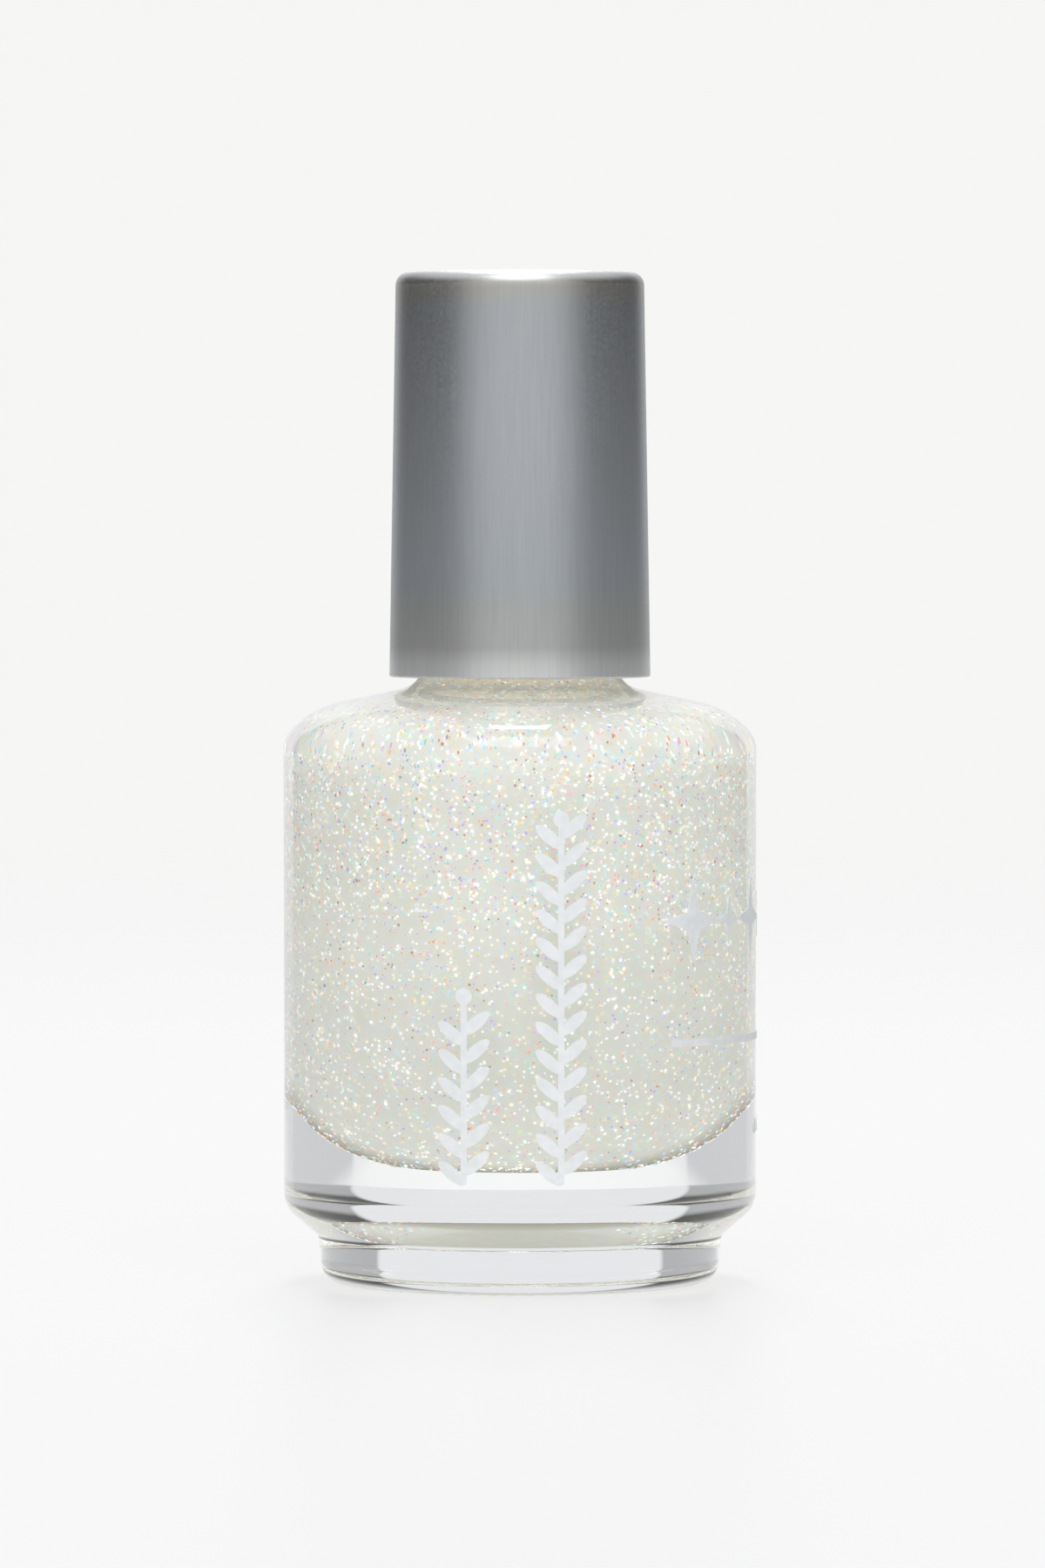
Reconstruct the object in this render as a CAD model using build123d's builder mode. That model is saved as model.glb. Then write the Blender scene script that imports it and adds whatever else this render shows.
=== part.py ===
from build123d import *
import os
from math import asin, cos, degrees, radians, sin, tan

# Round glass nail polish bottle with a screw cap and a brush.
# Millimetres, +Z up, origin at the centre of the ring that the bottle stands on.
# The front of the bottle faces -Y.

# glass, outside
body_radius = 16.35
wall_top = 36.8  # where the straight wall ends
shoulder_corner_radius = 2.2
shoulder_corner_turn = 45  # degrees that the tight corner turns through
shoulder_crown_radius = 6.6
shoulder_slope = 12  # degrees above level where the shoulder meets the neck
bearing_radius = 12.3  # the ring that touches the table
foot_radius = 14.0
foot_corner_height = 1.5
foot_height = 3.3  # bottom of the sloping undercut
foot_draft = 0.2  # how much the foot narrows towards its corner
undercut_height = 5.3  # where the undercut's slope would meet the wall
undercut_root_radius = 0.5
undercut_edge_radius = 2.2

# glass, inside and underneath
side_wall = 2.1
cavity_floor = 8.2
bowl_corner_radius = 6.7  # the tighter arc next to the flat middle of the floor
bowl_corner_turn = 55  # degrees that it turns through
bowl_side_radius = 25.2  # the long arc from there up to the straight wall
shoulder_wall = 2.1
inner_shoulder_radius = 3.0
inner_neck_radius = 2.5
push_up_radius = 10.6
push_up_depth = 0.55
stipple_count = 64
stipple_radius = 0.32
stipple_depth = 0.11
stipple_length = 1.6

# 15-415 neck finish
neck_radius = 6.55
thread_depth = 0.75
thread_pitch = 25.4 / 12
thread_turns = 2.0
thread_root_width = 1.35
thread_crest_width = 0.55
root_overlap = 0.1  # how far a ridge is sunk into its wall
trim_depth = 0.04  # how far the faces that trim the thread's ends are sunk into the neck
trim_height = 1.9
finish_height = 14.2  # from the shoulder to the rim
thread_start_below_rim = 2.0  # middle of the upper thread end
neck_fillet_radius = 2.2
neck_bore_radius = 4.0
rim_radius = 0.55

# liquid
fill_above_neck = 1.61  # level of the liquid above the foot of the neck
film_gap = 0.02  # between the liquid stand-in and the glass
brush_well_radius = 2.7
ball_channel_gap = 0.15

# steel mixing balls
ball_radius = 2.38
ball_orbit_radius = 4.0
first_ball_angle = -161.8
ball_spacing = 0.19  # between the two balls
ball_rest_gap = 0.03

# screen-printed ink
ink_thickness = 0.05
print_overrun = 1  # how far the shapes run out past the wall before they are cut to depth
sprigs = ((-3.8, 7.8, 16.2), (2.8, 7.8, 4.2))  # middle, foot, and tip below the top of the wall
sprig_stroke = 0.42
leaf_length = 2.3
leaf_width = 0.85
leaf_tilt = 42
leaf_spacing = 1.9
leaf_stagger = 0.35
leaf_reach = 0.83  # from the middle of the stem to the middle of a leaf
first_leaf_height = 1.14  # above the foot of the stem
bud_radius = 0.55
side_print_middle = 90  # degrees round from the front, towards the right side
spark_count = 7
spark_pitch = 4.16  # along the wall, from one spark to the next
spark_height = 25.5
spark_radius = 2.9
small_spark_share = 0.55
spark_arms = 4
spark_waist = 0.3  # the notch between two arms, as a share of the spark's radius
rule_height = 17.2
rule_width = 0.5
dot_height = 11.0
dot_radius = 0.55
dot_pitch = 2.57  # along the wall

# closure
thread_gap = 0.15  # radial, between the two threads
seal_thickness = 0.9
seal_bore_radius = 2.3
seal_gap = 0.03
seal_edge_gap = 0.25
inner_wall = 0.88  # at the bottom of the skirt
inner_roof = 1.2
boss_wall = 1.2
skirt_setback = 0.85  # bottom of the inner skirt above the shell's lip
cap_thread_turns = 1.75
cap_thread_root_width = 0.95
cap_thread_crest_width = 0.35
overcap_lift = 0.51  # the shell's lip above the foot of the neck
overcap_height = 28.1
overcap_draft = 0.45  # how much narrower the shell is at its top
overcap_wall = 0.65
overcap_roof = 1.1
overcap_edge_radius = 0.95
overcap_lip_radius = 0.15
overcap_dome = 0.18
nest_gap = 0.05  # between the inner cap and the shell around it
fin_count = 6
fin_thickness = 0.8
fin_width = 2.2
snap_bead_height = 0.5
snap_bead_reach = 0.45

# brush
flange_edge = 0.3  # how far the flange stays inside the seal's edge
flange_thickness = 0.9
plug_radius = 3.0
plug_height = 4.0
plug_gap = 0.02
plug_edge_radius = 0.4
stem_edge_radius = 0.2
stem_top_radius = 2.05
stem_end_radius = 1.75
tuft_bore_radius = 1.2
tuft_bore_depth = 4.2
tuft_ball_gap = 0.7  # from the tip down to the balls
tuft_length = 17.31  # below the stem
tuft_width = 3.9
tuft_thickness = 2.7
tuft_gap = 0.05
staple_thickness = 0.3
staple_width = 2.3
staple_height = 1.0
staple_depth = 1.1  # from the top of the bore to the middle of the staple

# radii and heights that follow from the sizes above
corner_turn = radians(shoulder_corner_turn)
crown_turn = radians(shoulder_corner_turn - shoulder_slope)
slope_rise = tan(radians(shoulder_slope))
crown_start_radius = body_radius - shoulder_corner_radius * (1 - cos(corner_turn))
crown_start_height = wall_top + shoulder_corner_radius * sin(corner_turn)
crown_chord = 2 * shoulder_crown_radius * sin(crown_turn / 2)
slope_start_radius = crown_start_radius - crown_chord * cos(corner_turn - crown_turn / 2)
slope_start_height = crown_start_height + crown_chord * sin(corner_turn - crown_turn / 2)
neck_foot = slope_start_height + (slope_start_radius - neck_radius) * slope_rise
rim = neck_foot + finish_height
cavity_radius = body_radius - side_wall

seal_bottom = rim + seal_gap
seal_top = seal_bottom + seal_thickness
flange_bottom = seal_top + seal_gap
inner_ceiling = flange_bottom + flange_thickness
inner_top = inner_ceiling + inner_roof
thread_outer_radius = neck_radius + thread_depth
inner_bore_radius = thread_outer_radius + thread_gap
seal_radius = inner_bore_radius - seal_edge_gap
flange_radius = seal_radius - flange_edge
fill_height = neck_foot + fill_above_neck
overcap_bottom = neck_foot + overcap_lift
overcap_top = overcap_bottom + overcap_height
inner_skirt_bottom = overcap_bottom + skirt_setback
overcap_bottom_radius = inner_bore_radius + inner_wall + nest_gap + overcap_wall
overcap_top_radius = overcap_bottom_radius - overcap_draft
overcap_ceiling = overcap_top - overcap_roof
overcap_taper = (overcap_bottom_radius - overcap_top_radius) / (overcap_top - overcap_bottom)
ball_height = cavity_floor + ball_rest_gap + ball_radius
ball_turn = 2 * degrees(asin((ball_radius + ball_spacing / 2) / ball_orbit_radius))
tuft_tip = ball_height + ball_radius + tuft_ball_gap
stem_end = tuft_tip + tuft_length


# radius of the shell's inside wall at a height
def overcap_inner_radius(height):
    return overcap_bottom_radius - overcap_wall - overcap_taper * (height - overcap_bottom)


# half section of the bottle's inside, shrunk by a gap and cut off level at the top
def cavity_section(gap, top):
    wall = cavity_radius - gap
    bore = neck_bore_radius - gap
    floor = cavity_floor + gap
    lower_turn = radians(bowl_corner_turn)
    lower_radius = bowl_corner_radius - gap
    upper_radius = bowl_side_radius - gap
    flat_radius = wall - lower_radius * sin(lower_turn) - upper_radius * (1 - sin(lower_turn))
    bowl_top = floor + lower_radius * (1 - cos(lower_turn)) + upper_radius * cos(lower_turn)
    drop = (shoulder_wall + gap) / cos(radians(shoulder_slope))
    shoulder_at_wall = slope_start_height - drop - (wall - slope_start_radius) * slope_rise
    shoulder_at_bore = slope_start_height - drop + (slope_start_radius - bore) * slope_rise
    with BuildSketch() as section:
        with BuildLine():
            lower = JernArc((flat_radius, floor), (1, 0), lower_radius, bowl_corner_turn)
            JernArc(lower @ 1, lower % 1, upper_radius, 90 - bowl_corner_turn)
            FilletPolyline(
                (wall, bowl_top), (wall, shoulder_at_wall), (bore, shoulder_at_bore), (bore, top),
                radius=(inner_shoulder_radius - gap, inner_neck_radius + gap),
            )
            Polyline((bore, top), (0, top), (0, floor), (flat_radius, floor))
        make_face()
    return section.sketch_local


# right-hand thread ridge on a wall; a negative depth stands inwards
def helical_ridge(root_radius, depth, root_width, crest_width, turns, start):
    sunk = -root_overlap if depth > 0 else root_overlap
    with BuildPart() as ridge:
        with BuildLine() as path:
            Helix(thread_pitch, thread_pitch * turns, root_radius, center=(0, 0, start))
        with BuildSketch(Plane(path.line @ 0, x_dir=(1, 0, 0), z_dir=path.line % 0)):
            with BuildLine():
                Polyline(
                    (sunk, -root_width / 2), (0, -root_width / 2), (depth, -crest_width / 2),
                    (depth, crest_width / 2), (0, root_width / 2), (sunk, root_width / 2),
                    close=True,
                )
            make_face()
        sweep(path=path.line, is_frenet=True)
    return ridge.part


os.makedirs("parts", exist_ok=True)

upper_thread_end = rim - thread_start_below_rim
lower_thread_end = upper_thread_end - thread_turns * thread_pitch

# the ridge fades out at each end, where a flat face almost tangent to the neck trims it
with BuildPart() as glass_thread:
    add(helical_ridge(
        neck_radius, thread_depth, thread_root_width, thread_crest_width, thread_turns, lower_thread_end
    ))
    for end_angle, end_height, side in (
        (0, lower_thread_end, 1), (360 * thread_turns, upper_thread_end, -1)
    ):
        with Locations(Location((0, 0, end_height), (0, 0, end_angle))):
            with Locations((neck_radius - trim_depth + thread_depth, side * neck_radius / 4, 0)):
                Box(2 * thread_depth, neck_radius, trim_height, mode=Mode.SUBTRACT)

with BuildPart() as glass_bottle:
    with BuildSketch(Plane.XZ) as section:
        with BuildLine():
            TangentArc((0, push_up_depth), (push_up_radius, 0), tangent=(1, 0))
            Line((push_up_radius, 0), (bearing_radius, 0))
            TangentArc(
                (bearing_radius, 0), (foot_radius - foot_draft, foot_corner_height), tangent=(1, 0)
            )
            FilletPolyline(
                (foot_radius - foot_draft, foot_corner_height), (foot_radius, foot_height),
                (body_radius, undercut_height), (body_radius, wall_top),
                radius=(undercut_root_radius, undercut_edge_radius),
            )
            corner = JernArc((body_radius, wall_top), (0, 1), shoulder_corner_radius, shoulder_corner_turn)
            crown = JernArc(
                corner @ 1, corner % 1, shoulder_crown_radius, shoulder_corner_turn - shoulder_slope
            )
            FilletPolyline(
                crown @ 1, (neck_radius, neck_foot), (neck_radius, rim), radius=neck_fillet_radius
            )
            Polyline((neck_radius, rim), (0, rim), (0, push_up_depth))
        make_face()
        add(cavity_section(0, rim), mode=Mode.SUBTRACT)
        fillet(section.vertices().group_by(Axis.Y)[-1], rim_radius)
    revolve(axis=Axis.Z)
    add(glass_thread.part)
    with Locations((0, 0, stipple_depth - stipple_radius)):
        with PolarLocations(bearing_radius, stipple_count):
            Cylinder(stipple_radius, stipple_length, rotation=(0, 90, 0), mode=Mode.SUBTRACT)

glass_bottle.part.label = "glass_bottle"
export_step(glass_bottle.part, "parts/glass_bottle.step")

pocket_radius = ball_orbit_radius + ball_radius + ball_channel_gap
pocket_top = ball_height + ball_radius + ball_channel_gap

# a rigid stand-in for the liquid, open where the brush and the balls move
with BuildPart() as lacquer:
    with BuildSketch(Plane.XZ):
        add(cavity_section(film_gap, fill_height))
    revolve(axis=Axis.Z)
    with BuildSketch(Plane.XY.offset(cavity_floor)):
        Circle(pocket_radius)
    extrude(amount=pocket_top - cavity_floor, mode=Mode.SUBTRACT)
    with BuildSketch(Plane.XY.offset(cavity_floor)):
        Circle(brush_well_radius)
    extrude(amount=fill_height - cavity_floor, mode=Mode.SUBTRACT)

lacquer.part.label = "lacquer"
export_step(lacquer.part, "parts/lacquer.step")

# steel balls that stir the liquid when the bottle is shaken
for number in (1, 2):
    around = radians(first_ball_angle + (number - 1) * ball_turn)
    with BuildPart() as mixing_ball:
        with Locations((ball_orbit_radius * cos(around), ball_orbit_radius * sin(around), ball_height)):
            Sphere(ball_radius)
    mixing_ball.part.label = f"mixing_ball_{number}"
    export_step(mixing_ball.part, f"parts/mixing_ball_{number}.step")


# thin shell of ink all round the straight wall, which cuts the prints to depth
def ink_film():
    with BuildPart() as film:
        with BuildSketch(Plane.XY.offset(undercut_height)):
            Circle(body_radius + ink_thickness)
            Circle(body_radius, mode=Mode.SUBTRACT)
        extrude(amount=wall_top - undercut_height)
    return film.part


# each sprig is a stem with pairs of slanted leaves and a bud on its tip
with BuildPart() as front_print:
    for sprig_x, sprig_bottom, tip_below_top in sprigs:
        sprig_top = wall_top - tip_below_top
        with BuildSketch(Plane.XZ):
            leaf_count = int((sprig_top - sprig_bottom) / leaf_spacing)
            with Locations((sprig_x, (sprig_bottom + sprig_top) / 2)):
                SlotOverall(sprig_top - sprig_bottom, sprig_stroke, rotation=90)
            for number in range(leaf_count):
                leaf_height = sprig_bottom + first_leaf_height + number * leaf_spacing
                for side in (1, -1):
                    leaf_middle = (sprig_x + side * leaf_reach, leaf_height + side * leaf_stagger)
                    with Locations(leaf_middle):
                        Ellipse(leaf_length / 2, leaf_width / 2, rotation=side * leaf_tilt)
            with Locations((sprig_x, sprig_top)):
                Circle(bud_radius)
        extrude(amount=body_radius + print_overrun)
    add(ink_film(), mode=Mode.INTERSECT)

front_print.part.label = "front_print"
export_step(front_print.part, "parts/front_print.step")


# upright plane through the axis of the bottle that faces an angle round from the front
def wall_plane(angle, height):
    around = radians(angle - 90)
    return Plane((0, 0, height), x_dir=(-sin(around), cos(around), 0), z_dir=(cos(around), sin(around), 0))


# marks on the side are spaced along the wall, so their angles follow from its radius
spark_turn = degrees(spark_pitch / body_radius)
dot_turn = degrees(dot_pitch / body_radius)
side_span = spark_count * spark_turn
side_print_start = side_print_middle - side_span / 2
with BuildPart() as side_print:
    for number in range(spark_count):
        spark_angle = side_print_start + (number + 0.5) * spark_turn
        spark_size = spark_radius if number % 2 == 0 else spark_radius * small_spark_share
        spark_points = [
            Vector(spark_size * (spark_waist if corner % 2 else 1), 0).rotate(
                Axis.Z, 180 / spark_arms * corner
            )
            for corner in range(2 * spark_arms)
        ]
        with BuildSketch(wall_plane(spark_angle, spark_height)):
            Polygon(*spark_points, align=None)
        extrude(amount=body_radius + print_overrun)
    for dot_angle in (-dot_turn, 0, dot_turn):
        with BuildSketch(wall_plane(side_print_middle + dot_angle, dot_height)):
            Circle(dot_radius)
        extrude(amount=body_radius + print_overrun)
    add(ink_film(), mode=Mode.INTERSECT)
    with BuildSketch(wall_plane(side_print_start - 90, rule_height)):
        with Locations((body_radius + ink_thickness / 2, 0)):
            Rectangle(ink_thickness, rule_width)
    revolve(axis=Axis.Z, revolution_arc=side_span)

side_print.part.label = "side_print"
export_step(side_print.part, "parts/side_print.step")

# foam washer that the cap carries and presses on the rim
with BuildPart() as neck_seal:
    with BuildSketch(Plane.XY.offset(seal_bottom)):
        Circle(seal_radius)
        Circle(seal_bore_radius, mode=Mode.SUBTRACT)
    extrude(amount=seal_thickness)

neck_seal.part.label = "neck_seal"
export_step(neck_seal.part, "parts/neck_seal.step")

boss_top = inner_ceiling + plug_height + inner_roof
with BuildPart() as inner_cap:
    with BuildSketch(Plane.XZ):
        with BuildLine():
            Polyline(
                (inner_bore_radius, inner_skirt_bottom),
                (overcap_inner_radius(inner_skirt_bottom) - nest_gap, inner_skirt_bottom),
                (overcap_inner_radius(inner_top) - nest_gap, inner_top),
                (plug_radius + boss_wall, inner_top),
                (plug_radius + boss_wall, boss_top),
                (0, boss_top),
                (0, boss_top - inner_roof),
                (plug_radius, boss_top - inner_roof),
                (plug_radius, inner_ceiling),
                (inner_bore_radius, inner_ceiling),
                close=True,
            )
        make_face()
    revolve(axis=Axis.Z)
    add(helical_ridge(
        inner_bore_radius, -thread_depth, cap_thread_root_width, cap_thread_crest_width,
        cap_thread_turns, lower_thread_end - thread_pitch / 2,
    ))

inner_cap.part.label = "inner_cap"
export_step(inner_cap.part, "parts/inner_cap.step")

dome_edge = (overcap_top_radius, overcap_top - overcap_dome)
with BuildPart() as overcap:
    with BuildSketch(Plane.XZ) as section:
        with BuildLine():
            TangentArc((0, overcap_top), dome_edge, tangent=(1, 0))
            Polyline(
                dome_edge,
                (overcap_bottom_radius, overcap_bottom),
                (overcap_inner_radius(overcap_bottom), overcap_bottom),
                (overcap_inner_radius(overcap_ceiling), overcap_ceiling),
                (0, overcap_ceiling),
                (0, overcap_top),
            )
        make_face()
        fillet(section.vertices().sort_by(Axis.X).group_by(Axis.Y)[-2], overcap_edge_radius)
        fillet(section.vertices().group_by(Axis.Y)[0], overcap_lip_radius)
    revolve(axis=Axis.Z)
    # a bead inside the lip snaps under the inner cap's skirt
    with BuildSketch(Plane.XZ):
        with BuildLine():
            bead_wall = overcap_inner_radius(inner_skirt_bottom)
            Polyline(
                (bead_wall - snap_bead_reach, inner_skirt_bottom),
                (bead_wall + overcap_wall / 2, inner_skirt_bottom),
                (bead_wall + overcap_wall / 2, inner_skirt_bottom - snap_bead_height),
                (bead_wall, inner_skirt_bottom - snap_bead_height),
                close=True,
            )
        make_face()
    revolve(axis=Axis.Z)
    # fins under the roof press the inner cap down on the bead
    fin_outer = overcap_inner_radius(overcap_ceiling) + overcap_wall / 2
    with BuildSketch(Plane.XY.offset(inner_top)):
        with PolarLocations(fin_outer - fin_width / 2, fin_count):
            Rectangle(fin_width, fin_thickness)
    extrude(amount=overcap_ceiling + overcap_roof / 2 - inner_top)

overcap.part.label = "overcap"
export_step(overcap.part, "parts/overcap.step")

tuft_bore_top = stem_end + tuft_bore_depth
with BuildPart() as brush_stem:
    with BuildSketch(Plane.XZ) as section:
        with BuildLine():
            Polyline(
                (0, inner_ceiling + plug_height),
                (plug_radius - plug_gap, inner_ceiling + plug_height),
                (plug_radius - plug_gap, inner_ceiling),
                (flange_radius, inner_ceiling),
                (flange_radius, flange_bottom),
                (stem_top_radius, flange_bottom),
                (stem_end_radius, stem_end),
                (tuft_bore_radius, stem_end),
                (tuft_bore_radius, tuft_bore_top),
                (0, tuft_bore_top),
                close=True,
            )
        make_face()
        fillet(section.vertices().group_by(Axis.Y)[-1].sort_by(Axis.X)[-1], plug_edge_radius)
        fillet(section.vertices().group_by(Axis.Y)[0].sort_by(Axis.X)[-1], stem_edge_radius)
    revolve(axis=Axis.Z)

brush_stem.part.label = "brush_stem"
export_step(brush_stem.part, "parts/brush_stem.step")

# flat metal anchor that the filaments are folded over
staple_middle = tuft_bore_top - staple_depth
with BuildPart() as brush_staple:
    with Locations((0, 0, staple_middle)):
        Box(staple_width, staple_thickness, staple_height)

brush_staple.part.label = "brush_staple"
export_step(brush_staple.part, "parts/brush_staple.step")

packed_radius = tuft_bore_radius - tuft_gap
with BuildPart() as bristle_tuft:
    with BuildSketch(Plane.XY.offset(stem_end)):
        Circle(packed_radius)
    # below the stem it spreads, stays full and then rounds off: shares of its length, width and thickness
    for down, width_share, thickness_share in (
        (0.3, 0.8, 0.95), (0.7, 1, 1), (0.93, 0.86, 0.8), (1, 0.45, 0.4)
    ):
        with BuildSketch(Plane.XY.offset(stem_end - down * tuft_length)):
            Ellipse(width_share * tuft_width / 2, thickness_share * tuft_thickness / 2)
    loft()
    with BuildSketch(Plane.XY.offset(stem_end)):
        Circle(packed_radius)
    extrude(amount=tuft_bore_depth - tuft_gap)
    with Locations((0, 0, staple_middle)):
        Box(
            2 * tuft_bore_radius, staple_thickness + 2 * tuft_gap, staple_height + 2 * tuft_gap,
            mode=Mode.SUBTRACT,
        )

bristle_tuft.part.label = "bristle_tuft"
export_step(bristle_tuft.part, "parts/bristle_tuft.step")
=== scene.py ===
import math
import random

import bmesh
import bpy
from mathutils import Matrix, Vector


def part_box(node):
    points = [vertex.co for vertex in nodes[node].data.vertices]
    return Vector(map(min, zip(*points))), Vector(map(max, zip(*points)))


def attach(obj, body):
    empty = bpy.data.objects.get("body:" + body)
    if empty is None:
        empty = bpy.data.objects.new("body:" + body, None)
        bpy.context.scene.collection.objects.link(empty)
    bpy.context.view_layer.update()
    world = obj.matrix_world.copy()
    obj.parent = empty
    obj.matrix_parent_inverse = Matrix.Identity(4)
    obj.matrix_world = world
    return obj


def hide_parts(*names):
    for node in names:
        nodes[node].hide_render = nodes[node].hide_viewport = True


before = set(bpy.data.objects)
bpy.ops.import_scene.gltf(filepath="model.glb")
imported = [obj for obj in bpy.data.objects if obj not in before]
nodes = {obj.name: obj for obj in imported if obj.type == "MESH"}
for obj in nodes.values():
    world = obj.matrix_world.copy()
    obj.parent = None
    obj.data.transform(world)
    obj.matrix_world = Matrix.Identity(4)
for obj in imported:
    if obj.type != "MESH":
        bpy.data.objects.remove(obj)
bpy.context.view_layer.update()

mm = 0.001
scene = bpy.context.scene
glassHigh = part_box("glass_bottle")[1]
capLow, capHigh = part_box("overcap")


# small tools that the pieces share

def hexColour(code):
    channels = [int(code[i:i + 2], 16) / 255 for i in (1, 3, 5)]
    return [c / 12.92 if c <= 0.04045 else ((c + 0.055) / 1.055) ** 2.4 for c in channels] + [1.0]


def addNode(tree, kind, inputs=None, **settings):
    node = tree.nodes.new("ShaderNode" + kind)
    for name, value in settings.items():
        setattr(node, name, value)
    for key, value in (inputs or {}).items():
        if isinstance(value, bpy.types.NodeSocket):
            tree.links.new(value, node.inputs[key])
        else:
            node.inputs[key].default_value = value
    return node


def addRamp(tree, value, stops):
    # colours at two or more positions, from the lowest to the highest
    ramp = addNode(tree, "ValToRGB", {0: value})
    (low, first), *between, (high, last) = stops
    elements = ramp.color_ramp.elements
    elements[0].position = low
    elements[0].color = hexColour(first)
    elements[1].position = high
    elements[1].color = hexColour(last)
    for position, colour in between:
        elements.new(position).color = hexColour(colour)
    return ramp.outputs[0]


def mixColours(tree, share, first, second, blend="MIX"):
    mix = addNode(tree, "Mix", {0: share, 6: first, 7: second}, data_type="RGBA", blend_type=blend)
    return mix.outputs[2]


def startMaterial(name, **shader):
    material = bpy.data.materials.new(name)
    material.use_nodes = True
    surface = material.node_tree.nodes["Principled BSDF"]
    for key, value in shader.items():
        surface.inputs[key.replace("_", " ")].default_value = value
    return material, material.node_tree, surface


def lineTo(bm, vertex, x, z):
    new = bmesh.ops.extrude_vert_indiv(bm, verts=[vertex])["verts"][0]
    new.co = (x * mm, 0, z * mm)
    return new


def arcTo(bm, vertex, x, z, degrees, steps):
    # carries the outline round a centre, anticlockwise for a positive angle
    swept = bmesh.ops.spin(
        bm, geom=[vertex], cent=(x * mm, 0, z * mm), axis=(0, -1, 0), angle=math.radians(degrees), steps=steps
    )
    return [part for part in swept["geom_last"] if isinstance(part, bmesh.types.BMVert)][0]


def cornerTo(bm, vertex, corner, after, radius, steps=6):
    # runs straight towards a corner and rounds it towards the next point
    here = Vector((vertex.co.x / mm, vertex.co.z / mm))
    corner = Vector(corner)
    along = (corner - here).normalized()
    onwards = (Vector(after) - corner).normalized()
    turn = math.atan2(along.x * onwards.y - along.y * onwards.x, along.dot(onwards))
    start = corner - along * radius * math.tan(abs(turn) / 2)
    centre = start + Vector((-along.y, along.x)) * math.copysign(radius, turn)
    vertex = lineTo(bm, vertex, start.x, start.y)
    return arcTo(bm, vertex, centre.x, centre.y, math.degrees(turn), steps)


def startOutline(bm, x, z):
    return bmesh.ops.create_vert(bm, co=(x * mm, 0, z * mm))["vert"][0]


def sortParts(parts, key):
    rank = {part: number for number, part in enumerate(sorted(parts, key=key))}
    parts.sort(key=rank.get)
    parts.index_update()


def lathe(bm, steps):
    # turns the outline about the bottle's axis and closes its poles
    bmesh.ops.remove_doubles(bm, verts=bm.verts, dist=1e-7)
    bmesh.ops.spin(
        bm, geom=bm.verts[:] + bm.edges[:], cent=(0, 0, 0), axis=(0, 0, 1),
        angle=2 * math.pi, steps=steps, use_merge=True
    )
    bmesh.ops.remove_doubles(bm, verts=bm.verts, dist=1e-7)
    bmesh.ops.recalc_face_normals(bm, faces=bm.faces)
    # the operators leave an order that changes from run to run, and scattered pieces follow it
    sortParts(bm.verts, lambda vertex: [round(value, 7) for value in vertex.co])
    sortParts(bm.faces, lambda face: sorted(vertex.index for vertex in face.verts))


def finishPiece(bm, name, body, materials, replaced=()):
    mesh = bpy.data.meshes.new(name)
    for face in bm.faces:
        face.smooth = True
    bm.to_mesh(mesh)
    bm.free()
    piece = bpy.data.objects.new(name, mesh)
    scene.collection.objects.link(piece)
    for material in materials:
        mesh.materials.append(material)
    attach(piece, body)
    if replaced:
        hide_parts(*replaced)
    return piece


def dressNode(name, material):
    nodes[name].data.materials.clear()
    nodes[name].data.materials.append(material)


studio = {
    "lens": 227.2,
    "distance": 684.3,
    "height": 55.5,
    "aside": 0.18,
    "lookDown": 1.76,
    "backdrop": "#f6f6f5",
    "sideLevel": 0.02,  # how bright the room is to the left and right
    "sideThroughGlass": 0.42,  # the same where clear glass shows it
    "wallTop": (0.12, 0.26),  # where the walls give way to a dark gap under the ceiling
    "frontLevel": 0.92,
    "frontEdge": (0.35, 0.85),
    "behindLevel": 0.84,
    "behindEdge": (0.80, 0.84),  # the backdrop ends about 35 degrees to each side
    "overheadLevel": 0.8,
    "overheadEdge": (0.35, 0.7),
    "belowLevel": 0.62,
    "belowEdge": (0.0, 0.05),
}

camera = bpy.data.objects.new("camera", bpy.data.cameras.new("camera"))
camera.data.lens = studio["lens"]
camera.data.sensor_width = 36
camera.data.clip_start = 0.01
camera.data.clip_end = 20
camera.location = (studio["aside"] * mm, -studio["distance"] * mm, studio["height"] * mm)
camera.rotation_euler = (math.radians(90 - studio["lookDown"]), 0, 0)
scene.collection.objects.link(camera)
scene.camera = camera

world = bpy.data.worlds.new("studio")
world.use_nodes = True
scene.world = world
sky = world.node_tree
sky.nodes.clear()
direction = addNode(sky, "TexCoord").outputs["Generated"]
axes = addNode(sky, "SeparateXYZ", {0: direction})


def zone(value, start, end, level):
    # a smooth step in one direction of the room, scaled to its brightness
    return addNode(
        sky, "MapRange", {"Value": value, "From Min": start, "From Max": end, "To Min": 0.0, "To Max": level},
        interpolation_type="SMOOTHSTEP"
    ).outputs["Result"]


behind = zone(axes.outputs["Y"], *studio["behindEdge"], studio["behindLevel"])
front = addNode(sky, "Math", {0: axes.outputs["Y"], 1: -1.0}, operation="MULTIPLY").outputs[0]
front = zone(front, *studio["frontEdge"], studio["frontLevel"])
overhead = zone(axes.outputs["Z"], *studio["overheadEdge"], studio["overheadLevel"])
below = addNode(sky, "Math", {0: axes.outputs["Z"], 1: -1.0}, operation="MULTIPLY").outputs[0]
below = zone(below, *studio["belowEdge"], studio["belowLevel"])
rays = addNode(sky, "LightPath").outputs
low, high = studio["wallTop"]
walls = addNode(
    sky, "MapRange",
    {
        "Value": axes.outputs["Z"], "From Min": low, "From Max": high,
        "To Min": studio["sideThroughGlass"], "To Max": studio["sideLevel"],
    },
    interpolation_type="SMOOTHSTEP"
).outputs["Result"]
level = addNode(
    sky, "MapRange", {"Value": rays["Is Transmission Ray"], "To Min": studio["sideLevel"], "To Max": walls}
).outputs["Result"]
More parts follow.
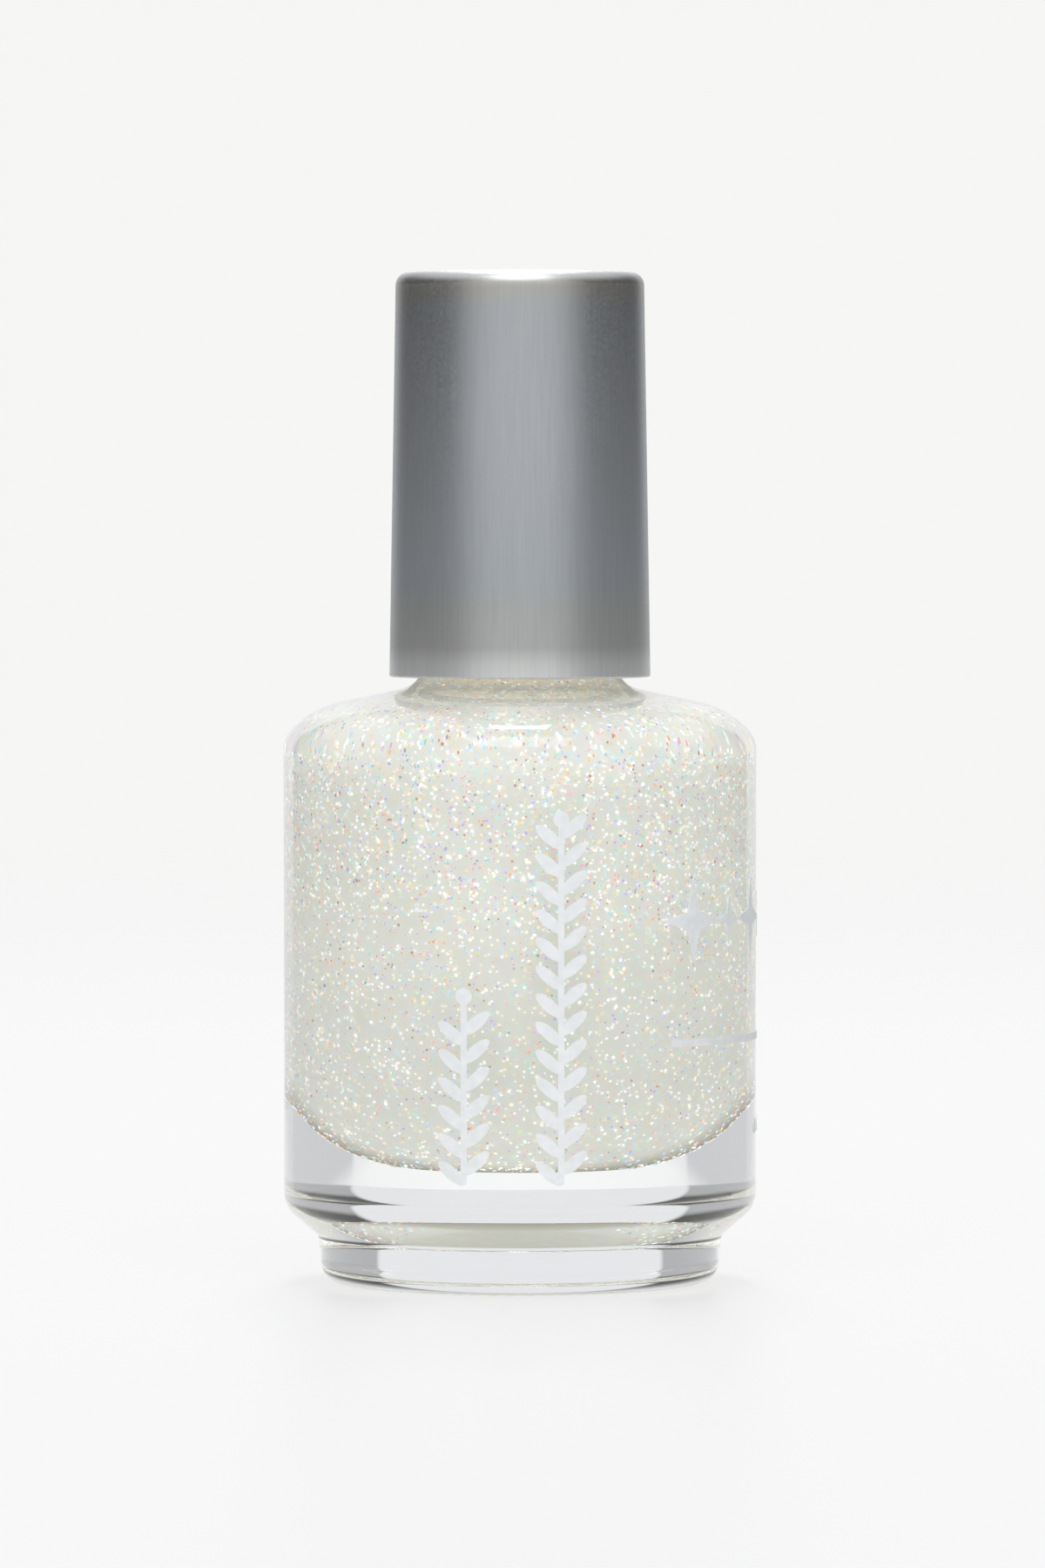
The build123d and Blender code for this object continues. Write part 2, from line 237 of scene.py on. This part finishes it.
for part in (behind, front, overhead, below):
    level = addNode(sky, "Math", {0: level, 1: part}, operation="MAXIMUM").outputs[0]
room = addNode(sky, "Background", {"Color": hexColour("#fbfbff"), "Strength": level})
paper = addNode(sky, "Background", {"Color": hexColour(studio["backdrop"]), "Strength": 1.0})
mixed = addNode(sky, "MixShader", {0: rays["Is Camera Ray"], 1: room.outputs[0], 2: paper.outputs[0]})
addNode(sky, "OutputWorld", {"Surface": mixed.outputs[0]})

lamps = {
    "topLamp": {"width": 0.17, "depth": 0.5, "power": 3.2, "place": (0.0, 0.3, 0.7), "aim": (0, 0, 0.03)},
    "frontLamp": {"width": 0.6, "depth": 0.6, "power": 2.6, "place": (0.0, -0.5, 0.72), "aim": (0, 0, 0.03)},
}
for name, lamp in lamps.items():
    light = bpy.data.objects.new(name, bpy.data.lights.new(name, "AREA"))
    light.data.shape = "RECTANGLE"
    light.data.size = lamp["width"]
    light.data.size_y = lamp["depth"]
    light.data.energy = lamp["power"]
    light.location = lamp["place"]
    light.rotation_euler = (Vector(lamp["aim"]) - Vector(lamp["place"])).to_track_quat("-Z", "Y").to_euler()
    scene.collection.objects.link(light)

scene.view_settings.view_transform = "Standard"
scene.cycles.max_bounces = 24
scene.cycles.transmission_bounces = 16
scene.cycles.glossy_bounces = 8
scene.cycles.transparent_max_bounces = 16

# white table that fades into the backdrop
table = {
    "radius": 0.9,
    "fadeFrom": 0.12,
    "sides": (0.05, 0.075),  # the white ends here at each side of the bottle
    "spread": 0.053,  # and this much further out for each step back
    "colour": "#6c6c6c",
    "glow": 0.635,  # keeps its shadows faint
}
bm = bmesh.new()
bmesh.ops.create_circle(bm, cap_ends=True, segments=96, radius=table["radius"])
floorMesh = bpy.data.meshes.new("tableTop")
bm.to_mesh(floorMesh)
bm.free()
floor = bpy.data.objects.new("tableTop", floorMesh)
scene.collection.objects.link(floor)
floorMaterial, tree, surface = startMaterial(
    "whiteTable", Base_Color=hexColour(table["colour"]), Roughness=0.4, Specular_IOR_Level=0.08,
    Emission_Color=(1, 1, 1, 1), Emission_Strength=table["glow"]
)
place = addNode(tree, "TexCoord").outputs["Object"]
reach = addNode(tree, "VectorMath", {0: place}, operation="LENGTH").outputs["Value"]
fade = addNode(
    tree, "MapRange",
    {
        "Value": reach, "From Min": table["fadeFrom"], "From Max": table["radius"],
        "To Min": 1.0, "To Max": 0.0,
    },
    interpolation_type="SMOOTHSTEP"
)
spots = addNode(tree, "SeparateXYZ", {0: place}).outputs
aside = addNode(tree, "Math", {0: spots["X"]}, operation="ABSOLUTE").outputs[0]
edge = addNode(
    tree, "Math", {0: spots["Y"], 1: -table["spread"], 2: aside}, operation="MULTIPLY_ADD"
).outputs[0]
start, end = table["sides"]
strip = addNode(
    tree, "MapRange", {"Value": edge, "From Min": start, "From Max": end, "To Min": 1.0, "To Max": 0.0},
    interpolation_type="SMOOTHSTEP"
)
# only reflections and glass show that it is narrow
seen = addNode(tree, "LightPath").outputs["Is Camera Ray"]
strip = addNode(tree, "Math", {0: strip.outputs["Result"], 1: seen}, operation="MAXIMUM")
cover = addNode(tree, "Math", {0: fade.outputs["Result"], 1: strip.outputs[0]}, operation="MULTIPLY")
tree.links.new(cover.outputs[0], surface.inputs["Alpha"])
floorMesh.materials.append(floorMaterial)
print("camera, room and table ready")

# bottle, in millimetres and degrees
glass = {
    "steps": 256,  # four to each stipple
    "pushUp": (10.6, 0.55),  # radius and depth
    "bearing": 12.3,
    "foot": (13.8, 1.5),  # radius and height
    "footTop": (14.0, 3.3),
    "undercutTop": 5.3,  # where its slope would meet the wall
    "rootRound": 0.5,
    "edgeRound": 2.2,
    "wallTop": 36.8,
    "cornerRound": 2.2,
    "cornerTurn": 45,
    "crownRound": 6.6,
    "slope": 12,  # degrees above level
    "neck": 6.55,
    "neckRound": 2.2,
    "bore": 4.0,
    "rimRound": 0.55,
    "wall": 2.1,
    "floor": 8.2,
    "bowlCorner": 6.7,
    "bowlTurn": 55,
    "bowlSide": 25.2,
    "shoulderWall": 2.1,
    "innerShoulder": 3.0,
    "innerNeck": 2.5,
    "stipples": 64,
    "stippleDepth": 0.11,
    "stippleReach": 0.8,
    "stippleInner": 0.4,  # share of the reach at the middle ring of a stipple
    "threadPitch": 25.4 / 12,
    "threadTurns": 2.0,
    "threadDepth": 0.75,
    "threadRoot": 1.35,
    "threadCrest": 0.55,
    "threadBelowRim": 2.0,
    "threadRows": 60,
    "trimTurn": 1.2,  # radians over which an end of the thread is trimmed
    "ripple": (110.0, 0.06, 0.0006),  # to the metre, strength, and depth in metres
}
body = glassHigh.x / mm
rim = glassHigh.z / mm
cavity = body - glass["wall"]
slopeRise = math.tan(math.radians(glass["slope"]))
cornerTurn = math.radians(glass["cornerTurn"])
crownTurn = glass["cornerTurn"] - glass["slope"]
crownX = body - glass["cornerRound"] * (1 - math.cos(cornerTurn))
crownZ = glass["wallTop"] + glass["cornerRound"] * math.sin(cornerTurn)
crownCentre = (
    crownX - glass["crownRound"] * math.cos(cornerTurn), crownZ - glass["crownRound"] * math.sin(cornerTurn)
)
slopeTurn = math.radians(90 - glass["slope"])
slopeX = crownCentre[0] + glass["crownRound"] * math.cos(slopeTurn)
slopeZ = crownCentre[1] + glass["crownRound"] * math.sin(slopeTurn)
neckFoot = slopeZ + (slopeX - glass["neck"]) * slopeRise


def drawCavity(bm, gap, top):
    # outline of the bottle's inside from the middle of its floor to a level in the neck; a gap shrinks it
    wall = cavity - gap
    bore = glass["bore"] - gap
    floorZ = glass["floor"] + gap
    turn = math.radians(glass["bowlTurn"])
    lower = glass["bowlCorner"] - gap
    upper = glass["bowlSide"] - gap
    flat = wall - lower * math.sin(turn) - upper * (1 - math.sin(turn))
    bowlTop = floorZ + lower * (1 - math.cos(turn)) + upper * math.cos(turn)
    drop = (glass["shoulderWall"] + gap) / math.cos(math.radians(glass["slope"]))
    atWall = slopeZ - drop - (wall - slopeX) * slopeRise
    atBore = slopeZ - drop + (slopeX - bore) * slopeRise
    vertex = startOutline(bm, 0, floorZ)
    vertex = lineTo(bm, vertex, flat, floorZ)
    vertex = arcTo(bm, vertex, flat, floorZ + lower, glass["bowlTurn"], 14)
    vertex = arcTo(bm, vertex, wall - upper, bowlTop, 90 - glass["bowlTurn"], 20)
    vertex = cornerTo(bm, vertex, (wall, atWall), (bore, atBore), glass["innerShoulder"] - gap, 14)
    vertex = cornerTo(bm, vertex, (bore, atBore), (bore, top), glass["innerNeck"] + gap, 12)
    return lineTo(bm, vertex, bore, top)


bm = bmesh.new()
pushX, pushZ = glass["pushUp"]
domeRadius = (pushX ** 2 + pushZ ** 2) / (2 * pushZ)
vertex = startOutline(bm, 0, pushZ)
vertex = arcTo(bm, vertex, 0, pushZ - domeRadius, -math.degrees(math.asin(pushX / domeRadius)), 8)
for share in (1, glass["stippleInner"], 0):
    vertex = lineTo(bm, vertex, glass["bearing"] - share * glass["stippleReach"], 0)
vertex = arcTo(bm, vertex, glass["bearing"], glass["foot"][1], 90, 14)
vertex = cornerTo(bm, vertex, glass["footTop"], (body, glass["undercutTop"]), glass["rootRound"])
vertex = cornerTo(bm, vertex, (body, glass["undercutTop"]), (body, glass["wallTop"]), glass["edgeRound"], 16)
vertex = lineTo(bm, vertex, body, glass["wallTop"])
vertex = arcTo(bm, vertex, body - glass["cornerRound"], glass["wallTop"], glass["cornerTurn"], 10)
vertex = arcTo(bm, vertex, *crownCentre, crownTurn, 12)
vertex = cornerTo(bm, vertex, (glass["neck"], neckFoot), (glass["neck"], rim), glass["neckRound"], 12)
upperEnd = rim - glass["threadBelowRim"]
lowerEnd = upperEnd - glass["threadTurns"] * glass["threadPitch"]
threadFrom = lowerEnd - glass["threadRoot"]
threadTo = upperEnd + glass["threadRoot"] * 0.6
for row in range(glass["threadRows"] + 1):
    height = threadFrom + (threadTo - threadFrom) * row / glass["threadRows"]
    vertex = lineTo(bm, vertex, glass["neck"], height)
vertex = cornerTo(bm, vertex, (glass["neck"], rim), (glass["bore"], rim), glass["rimRound"])
vertex = cornerTo(bm, vertex, (glass["bore"], rim), (glass["bore"], glass["wallTop"]), glass["rimRound"])
drawCavity(bm, 0, vertex.co.z / mm)
lathe(bm, glass["steps"])

stippleStep = 2 * math.pi / glass["stipples"]
for vertex in bm.verts:
    x, y, z = vertex.co / mm
    radius = math.hypot(x, y)
    around = math.atan2(y, x) % (2 * math.pi)
    if z < 0.05 and abs(radius - glass["bearing"]) < glass["stippleReach"] + 0.01:
        # every fourth vertex of the bearing ring is raised into a stipple
        offset = abs((around + stippleStep / 2) % stippleStep - stippleStep / 2)
        if offset < stippleStep / 8:
            vertex.co.z += glass["stippleDepth"] * mm
    elif abs(radius - glass["neck"]) < 0.01 and threadFrom <= z <= threadTo:
        raised = 0
        for turn in range(int(glass["threadTurns"]) + 1):
            travelled = around + 2 * math.pi * turn
            whole = 2 * math.pi * glass["threadTurns"]
            if travelled > whole:
                continue
            fromMiddle = abs(z - lowerEnd - glass["threadPitch"] * travelled / (2 * math.pi))
            flank = glass["threadRoot"] / 2 - glass["threadCrest"] / 2
            slope = (glass["threadRoot"] / 2 - fromMiddle) / flank
            # the ridge fades out where a flat almost tangent to the neck trims each end
            toEnd = min(travelled, whole - travelled, glass["trimTurn"])
            flat = glass["neck"] * (1 / math.cos(toEnd) - 1)
            raised = max(raised, min(glass["threadDepth"] * min(max(slope, 0), 1), flat))
        vertex.co.x *= (radius + raised) / radius
        vertex.co.y *= (radius + raised) / radius

# soda-lime flint glass, pressed and fire-polished: colourless and clear, with a faint ripple
clearGlass, tree, surface = startMaterial(
    "fireGlossedFlintGlass", Base_Color=hexColour("#fcfdfc"), Roughness=0.0, IOR=1.52,
    Transmission_Weight=1.0
)
place = addNode(tree, "TexCoord").outputs["Object"]
scale, strength, depth = glass["ripple"]
ripple = addNode(tree, "TexNoise", {"Vector": place, "Scale": scale, "Detail": 1.0, "Roughness": 0.4})
relief = addNode(tree, "Bump", {"Strength": strength, "Distance": depth, "Height": ripple.outputs[0]})
tree.links.new(relief.outputs["Normal"], surface.inputs["Normal"])
finishPiece(bm, "glassBottle", "bottle", [clearGlass], ["glass_bottle"])
print("glass bottle turned, with its thread and stipples")

# liquid
lacquer = {
    "sunk": 0.03,  # reaches this far into the glass, so that no air shows between them
    "levelFilm": 0.01,  # faces this near the level take its own material
    "level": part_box("lacquer")[1].z / mm,
    "milk": ("#eceee6", "#f2f3ec", "#f6f6f0"),
    "glow": ("#828379", "#c2b698"),  # light that comes through it, in the body and in the neck
    "neckShade": "#b3a88f",  # painted shade: the lacquer darker and warmer in the neck, under the cap
    "neckFrom": (39.8, 41.6),  # heights between which the body's tones turn into the neck's
    "rimShade": "#a39c8a",  # multiplies colour and light where the surface turns away
    "rimFrom": (0.62, 0.98),
    "cloud": 160.0,  # streaks to the metre
    "grain": 0.35,  # millimetres to a speck
    "grainShare": 0.08,
}
bm = bmesh.new()
vertex = drawCavity(bm, -lacquer["sunk"], lacquer["level"])
lineTo(bm, vertex, 0, lacquer["level"])
lathe(bm, glass["steps"])
for face in bm.faces:
    if face.calc_center_median().z > (lacquer["level"] - lacquer["levelFilm"]) * mm:
        face.material_index = 1

random.seed(7)
flakes = {
    "count": 24000,
    "radius": (0.06, 0.14),
    "commonRadius": 0.08,
    "tilt": 28,  # degrees
    "lift": (0.01, 0.06),  # out of the liquid, into the glass
    "from": 8.3,  # none lie on the flat of the floor
    "brightBand": (29.0, 38.0),  # heights between which they crowd
    "crowding": 1.2,
    "batch": 250,
    "colours": (  # each with its share
        ("#ffffff", 34), ("#fff1df", 12), ("#f5dcae", 9), ("#efbf95", 7), ("#efb9c3", 9), ("#bfdcf5", 15),
        ("#bfb6ef", 9), ("#b0e3dc", 11), ("#cfe6bf", 6), ("#a8a6b4", 3), ("#c79a88", 3),
    ),
}
walls = [
    face for face in bm.faces
    if face.material_index == 0 and face.calc_center_median().z > flakes["from"] * mm
]
weights = []
low, high = flakes["brightBand"]
for face in walls:
    height = face.calc_center_median().z / mm
    crowd = 1.0 + flakes["crowding"] * max(0, 1 - abs(height - (low + high) / 2) / (high - low))
    weights.append(round(face.calc_area() / mm ** 2 * crowd, 5))
places = []
for face in random.choices(walls, weights, k=flakes["count"]):
    corners = list(face.verts)
    first = corners.index(min(corners, key=lambda corner: corner.index))
    corners = [corner.co for corner in corners[first:] + corners[:first]]
    share, across = random.random(), random.random()
    near = corners[0].lerp(corners[1], share)
    far = corners[-1].lerp(corners[-2], share)
    places.append((near.lerp(far, across), face.normal.copy()))
lacquerBm = bm


# nail lacquer thick with pearl: an even milk with cloudy streaks and specks too small to tell apart
def milkyLacquer(name, gloss):
    material, tree, surface = startMaterial(name, Roughness=0.3 if gloss else 0.8, Specular_IOR_Level=gloss)
    place = addNode(tree, "TexCoord").outputs["Object"]
    cloud = addNode(tree, "TexNoise", {
        "Vector": place, "Scale": lacquer["cloud"], "Detail": 3.0, "Roughness": 0.6
    })
    speck = addNode(tree, "TexVoronoi", {"Vector": place, "Scale": 1 / (lacquer["grain"] * mm)})
    milk = addRamp(tree, cloud.outputs[0], tuple(zip((0.3, 0.5, 0.7), lacquer["milk"])))
    milk = mixColours(tree, lacquer["grainShare"], milk, speck.outputs["Color"])
    height = addNode(tree, "SeparateXYZ", {0: place}).outputs["Z"]
    low, high = lacquer["neckFrom"]
    share = addNode(
        tree, "MapRange", {"Value": height, "From Min": low * mm, "From Max": high * mm},
        interpolation_type="SMOOTHSTEP"
    ).outputs[0]
    # painted shade: the colour turns darker and warmer in the neck, under the cap
    milk = mixColours(tree, share, milk, hexColour(lacquer["neckShade"]))
    glow = addRamp(tree, share, tuple(enumerate(lacquer["glow"])))
    facing = addNode(tree, "LayerWeight", {"Blend": 0.5}).outputs["Facing"]
    start, end = lacquer["rimFrom"]
    turned = addNode(tree, "MapRange", {"Value": facing, "From Min": start, "From Max": end}).outputs[0]
    for colour, socket in ((milk, "Base Color"), (glow, "Emission Color")):
        shaded = mixColours(tree, turned, colour, hexColour(lacquer["rimShade"]), "MULTIPLY")
        tree.links.new(shaded, surface.inputs[socket])
    surface.inputs["Emission Strength"].default_value = 1.0
    return material


finishPiece(
    lacquerBm, "pearlLacquer", "bottle",
    [milkyLacquer("pearlLacquer", 0.0), milkyLacquer("pearlLacquerLevel", 0.5)], ["lacquer"]
)
print("lacquer poured to its level")

# hexagonal film flakes that lie against the inside of the glass
flakeMesh = bpy.data.meshes.new("glitterFlakes")
main = bmesh.new()
carrier = bpy.data.meshes.new("carrier")
for start in range(0, len(places), flakes["batch"]):
    batch = bmesh.new()
    for spot, normal in places[start:start + flakes["batch"]]:
        lean = math.radians(flakes["tilt"])
        turned = normal.to_track_quat("Z", "Y").to_matrix().to_4x4()
        tilted = Matrix.Rotation(random.uniform(-lean, lean), 4, "X")
        tilted = tilted @ Matrix.Rotation(random.uniform(-lean, lean), 4, "Y")
        spun = Matrix.Rotation(random.uniform(0, math.pi), 4, "Z")
        lift = Matrix.Translation(spot + normal * random.uniform(*flakes["lift"]) * mm)
        bmesh.ops.create_circle(
            batch, cap_ends=True, segments=6,
            radius=random.triangular(*flakes["radius"], flakes["commonRadius"]) * mm,
            matrix=lift @ turned @ tilted @ spun
        )
    batch.to_mesh(carrier)
    batch.free()
    main.from_mesh(carrier)
bpy.data.meshes.remove(carrier)
main.to_mesh(flakeMesh)
main.free()
tints = [hexColour(code) for code, share in flakes["colours"]]
shares = [share for code, share in flakes["colours"]]
chosen = random.choices(tints, shares, k=flakes["count"])
flakeColour = flakeMesh.attributes.new("flakeColour", "FLOAT_COLOR", "POINT")
flakeColour.data.foreach_set("color", [value for tint in chosen for corner in range(6) for value in tint])
glitter = bpy.data.objects.new("glitterFlakes", flakeMesh)
scene.collection.objects.link(glitter)
# iridescent polyester film, die-cut: each flake flashes one hue; its faint glow in that hue is painted
# sparkle
flakeFilm, tree, surface = startMaterial("iridescentFilm", Metallic=0.35, Emission_Strength=0.42)
hue = addNode(tree, "Attribute", attribute_name="flakeColour").outputs["Color"]
place = addNode(tree, "TexCoord").outputs["Object"]
shimmer = addNode(tree, "TexNoise", {"Vector": place, "Scale": 900.0, "Detail": 1.0})
gloss = addNode(tree, "MapRange", {"Value": shimmer.outputs[0], "To Min": 0.15, "To Max": 0.4})
tree.links.new(hue, surface.inputs["Base Color"])
tree.links.new(hue, surface.inputs["Emission Color"])
tree.links.new(gloss.outputs[0], surface.inputs["Roughness"])
flakeMesh.materials.append(flakeFilm)
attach(glitter, "bottle")
print("flakes scattered:", flakes["count"])

# outer cap
cap = {
    "steps": 192,
    "wall": 0.65,
    "roof": 1.1,
    "draft": 0.45,
    "dome": 0.18,
    "domeEnd": 1.4,  # how far from the crest's radius the dome's outline stops
    "edgeRound": 0.95,
    "lipRound": 0.15,
    "beadFrom": 0.85,  # above the lip
    "beadHeight": 0.5,
    "beadReach": 0.45,
    "silver": ("#d1d3d4", "#d8dada"),  # dark and light of the grain
    "roughness": (0.42, 0.34),
    "tints": (  # share of the height, and the painted reflection there
        (0.0, "#ffffff"), (0.035, "#f4f4f0"), (0.075, "#d4d4d0"), (0.17, "#d0d1cd"), (0.24, "#cdd1d4"),
        (0.6, "#d2d5d7"), (0.9, "#cfd2d3"), (0.955, "#d6d2ca"), (1.0, "#ffffff"),
    ),
}
lip = capLow.z / mm
capTop = capHigh.z / mm
capRadius = capHigh.x / mm
crestRadius = capRadius - cap["draft"]
innerLip = capRadius - cap["wall"]
innerTop = crestRadius - cap["wall"]
domeRadius = crestRadius ** 2 / (2 * cap["dome"])
bm = bmesh.new()
vertex = startOutline(bm, 0, capTop)
domeTurn = math.degrees(math.asin((crestRadius - cap["domeEnd"]) / domeRadius))
vertex = arcTo(bm, vertex, 0, capTop - domeRadius, -domeTurn, 6)
vertex = cornerTo(bm, vertex, (crestRadius, capTop - cap["dome"]), (capRadius, lip), cap["edgeRound"], 14)
vertex = cornerTo(bm, vertex, (capRadius, lip), (innerLip, lip), cap["lipRound"], 5)
vertex = cornerTo(bm, vertex, (innerLip, lip), (innerTop, capTop), cap["lipRound"], 5)
beadTop = lip + cap["beadFrom"]
vertex = lineTo(bm, vertex, innerLip, beadTop - cap["beadHeight"])
vertex = lineTo(bm, vertex, innerLip - cap["beadReach"], beadTop)
vertex = lineTo(bm, vertex, innerLip, beadTop)
vertex = lineTo(bm, vertex, innerTop, capTop - cap["roof"])
lineTo(bm, vertex, 0, capTop - cap["roof"])
lathe(bm, cap["steps"])
# vacuum-metallised ABS under satin lacquer: soft silver with a faint upright grain and pearl specks
satinSilver, tree, surface = startMaterial("satinMetallisedAbs", Metallic=0.92)
place = addNode(tree, "TexCoord").outputs["Object"]
stretched = addNode(tree, "Mapping", {"Vector": place, "Scale": (1.0, 1.0, 0.04)})
# the grain is really about 0.1 mm wide and is drawn at 0.2 mm so that it shows
grain = addNode(tree, "TexNoise", {"Vector": stretched.outputs[0], "Scale": 5000.0, "Detail": 2.0})
tones = addRamp(tree, grain.outputs[0], tuple(zip((0.3, 0.7), cap["silver"])))
# painted reflections and highlight: the silver is lighter at the lip and the top, warm low down and bluish
# above, as the bottle's shoulder, the table and the room would show in it; the edges of these bands wander
drift = addNode(tree, "TexNoise", {"Vector": place, "Scale": 90.0, "Detail": 2.0})
wander = addNode(tree, "MapRange", {"Value": drift.outputs[0], "To Min": -0.02, "To Max": 0.02})
height = addNode(tree, "SeparateXYZ", {0: place}).outputs["Z"]
share = addNode(tree, "MapRange", {"Value": height, "From Min": capLow.z, "From Max": capHigh.z})
shifted = addNode(tree, "Math", {0: share.outputs[0], 1: wander.outputs[0]}, operation="ADD")
paintedReflection = addRamp(tree, shifted.outputs[0], cap["tints"])
tree.links.new(mixColours(tree, 1.0, tones, paintedReflection, "MULTIPLY"), surface.inputs["Base Color"])
pearl = addNode(tree, "TexNoise", {"Vector": place, "Scale": 4200.0, "Detail": 1.0})
dull, bright = cap["roughness"]
sheen = addNode(
    tree, "MapRange",
    {"Value": pearl.outputs[0], "From Min": 0.3, "From Max": 0.7, "To Min": dull, "To Max": bright}
)
tree.links.new(sheen.outputs[0], surface.inputs["Roughness"])
relief = addNode(tree, "Bump", {"Strength": 0.05, "Distance": 0.00001, "Height": pearl.outputs[0]})
tree.links.new(relief.outputs["Normal"], surface.inputs["Normal"])
finishPiece(bm, "satinCap", "cap", [satinSilver], ["overcap"])
print("outer cap turned")


# a moulded or printed finish: two near tones in a soft cloud, with a fine relief
def mouldedFinish(name, light, dark, scale, relief, **shader):
    material, tree, surface = startMaterial(name, **shader)
    place = addNode(tree, "TexCoord").outputs["Object"]
    cloud = addNode(tree, "TexNoise", {"Vector": place, "Scale": scale, "Detail": 3.0})
    tones = addRamp(tree, cloud.outputs[0], ((0.3, dark), (0.7, light)))
    tree.links.new(tones, surface.inputs["Base Color"])
    bump = addNode(tree, "Bump", {"Strength": relief, "Distance": 0.00003, "Height": cloud.outputs[0]})
    tree.links.new(bump.outputs["Normal"], surface.inputs["Normal"])
    return material


# ceramic screen ink, fired on: opaque bluish white, slightly matt
ink = mouldedFinish("firedScreenInk", "#f3f6f6", "#e8ecec", 1500.0, 0.15, Roughness=0.5)
dressNode("front_print", ink)
dressNode("side_print", ink)
# bearing steel, tumbled: bright with soft scuffs
steel = mouldedFinish("tumbledSteel", "#d0d1d3", "#b4b6b9", 900.0, 0.08, Roughness=0.2, Metallic=1.0)
dressNode("mixing_ball_1", steel)
dressNode("mixing_ball_2", steel)
# polyethylene foam: matt white with fine cells
foam = mouldedFinish("closedCellFoam", "#f1f0ea", "#d9d8d1", 3000.0, 0.6, Roughness=0.85)
dressNode("neck_seal", foam)
# polypropylene, injection moulded: waxy off-white
liner = mouldedFinish("mouldedPolypropylene", "#ecebe6", "#e0dfd9", 700.0, 0.1, Roughness=0.42)
dressNode("inner_cap", liner)
# natural polyethylene: slightly cloudy and waxy
stem = mouldedFinish("naturalPolyethylene", "#e4e5df", "#d3d5ce", 500.0, 0.1, Roughness=0.38)
dressNode("brush_stem", stem)
# nickel silver strip, cut: pale metal
strip = mouldedFinish("nickelSilverStrip", "#c3beb2", "#a8a498", 1800.0, 0.1, Roughness=0.3, Metallic=1.0)
dressNode("brush_staple", strip)

# bristles
tuft = {
    "count": 320,
    "rootRadius": 1.08,
    "spread": (1.85, 1.25),  # half width and half thickness
    "thickness": 0.045,
    "goldenAngle": 2.39996,  # radians from each root to the next
    "rooted": 0.6,  # how far the roots go up into the stem
    "unevenness": 0.6,
    "shoulder": 3.4,  # how much shorter the outermost filaments are
    "waver": 0.03,
    "taperFrom": 0.7,  # share of the length
    "steps": 8,
    "milk": "#e2e3da",
    "nylon": "#5b5957",
}
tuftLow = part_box("bristle_tuft")[0]
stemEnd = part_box("brush_stem")[0].z
longest = (stemEnd - tuftLow.z) / mm - 0.2
line = bpy.data.curves.new("bristleLines", "CURVE")
line.dimensions = "3D"
line.bevel_depth = tuft["thickness"] * mm
line.bevel_resolution = 0
line.use_fill_caps = True
random.seed(11)
for number in range(tuft["count"]):
    share = math.sqrt((number + 0.5) / tuft["count"])
    angle = number * tuft["goldenAngle"]
    rootX, rootY = (tuft["rootRadius"] * share * turn for turn in (math.cos(angle), math.sin(angle)))
    tipX = tuft["spread"][0] * share * math.cos(angle)
    tipY = tuft["spread"][1] * share * math.sin(angle)
    length = longest - tuft["shoulder"] * share ** 3 - random.uniform(0, tuft["unevenness"])
    spline = line.splines.new("POLY")
    spline.points.add(tuft["steps"])
    for step, point in enumerate(spline.points):
        down = step / tuft["steps"]
        belly = math.sin(math.pi * min(down * 0.8 + 0.1, 1)) if down > 0 else 0
        reach = (1 - (1 - down) ** 2) * 0.75 + 0.25 * belly
        x = rootX + (tipX - rootX) * reach + random.uniform(-tuft["waver"], tuft["waver"])
        y = rootY + (tipY - rootY) * reach + random.uniform(-tuft["waver"], tuft["waver"])
        z = tuft["rooted"] - (length + tuft["rooted"]) * down
        point.co = (x * mm, y * mm, stemEnd + z * mm, 1)
        point.radius = 1.0 - 1.8 * max(0, down - tuft["taperFrom"])
carrier = bpy.data.objects.new("bristleLines", line)
scene.collection.objects.link(carrier)
bpy.context.view_layer.update()
bristleMesh = bpy.data.meshes.new_from_object(carrier.evaluated_get(bpy.context.evaluated_depsgraph_get()))
bpy.data.objects.remove(carrier)
bristleMesh.name = "brushBristles"
bristles = bpy.data.objects.new("brushBristles", bristleMesh)
scene.collection.objects.link(bristles)
bristleMesh.materials.clear()
# grey nylon filament, coated with lacquer towards the tip
nylon, tree, surface = startMaterial("wetNylonFilament", Roughness=0.32)
place = addNode(tree, "TexCoord").outputs["Object"]
height = addNode(tree, "SeparateXYZ", {0: place}).outputs["Z"]
streak = addNode(tree, "TexNoise", {"Vector": place, "Scale": 1400.0, "Detail": 2.0})
wetness = addNode(
    tree, "MapRange",
    {"Value": height, "From Min": stemEnd, "From Max": tuftLow.z, "To Min": 0.1, "To Max": 0.95}
)
both = addNode(tree, "Math", {0: wetness.outputs[0], 1: streak.outputs[0]}, operation="ADD")
tones = addRamp(tree, both.outputs[0], ((0.4, tuft["nylon"]), (0.85, tuft["milk"])))
tree.links.new(tones, surface.inputs["Base Color"])
bristleMesh.materials.append(nylon)
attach(bristles, "cap")
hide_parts("bristle_tuft")
print("bristles gathered:", tuft["count"])
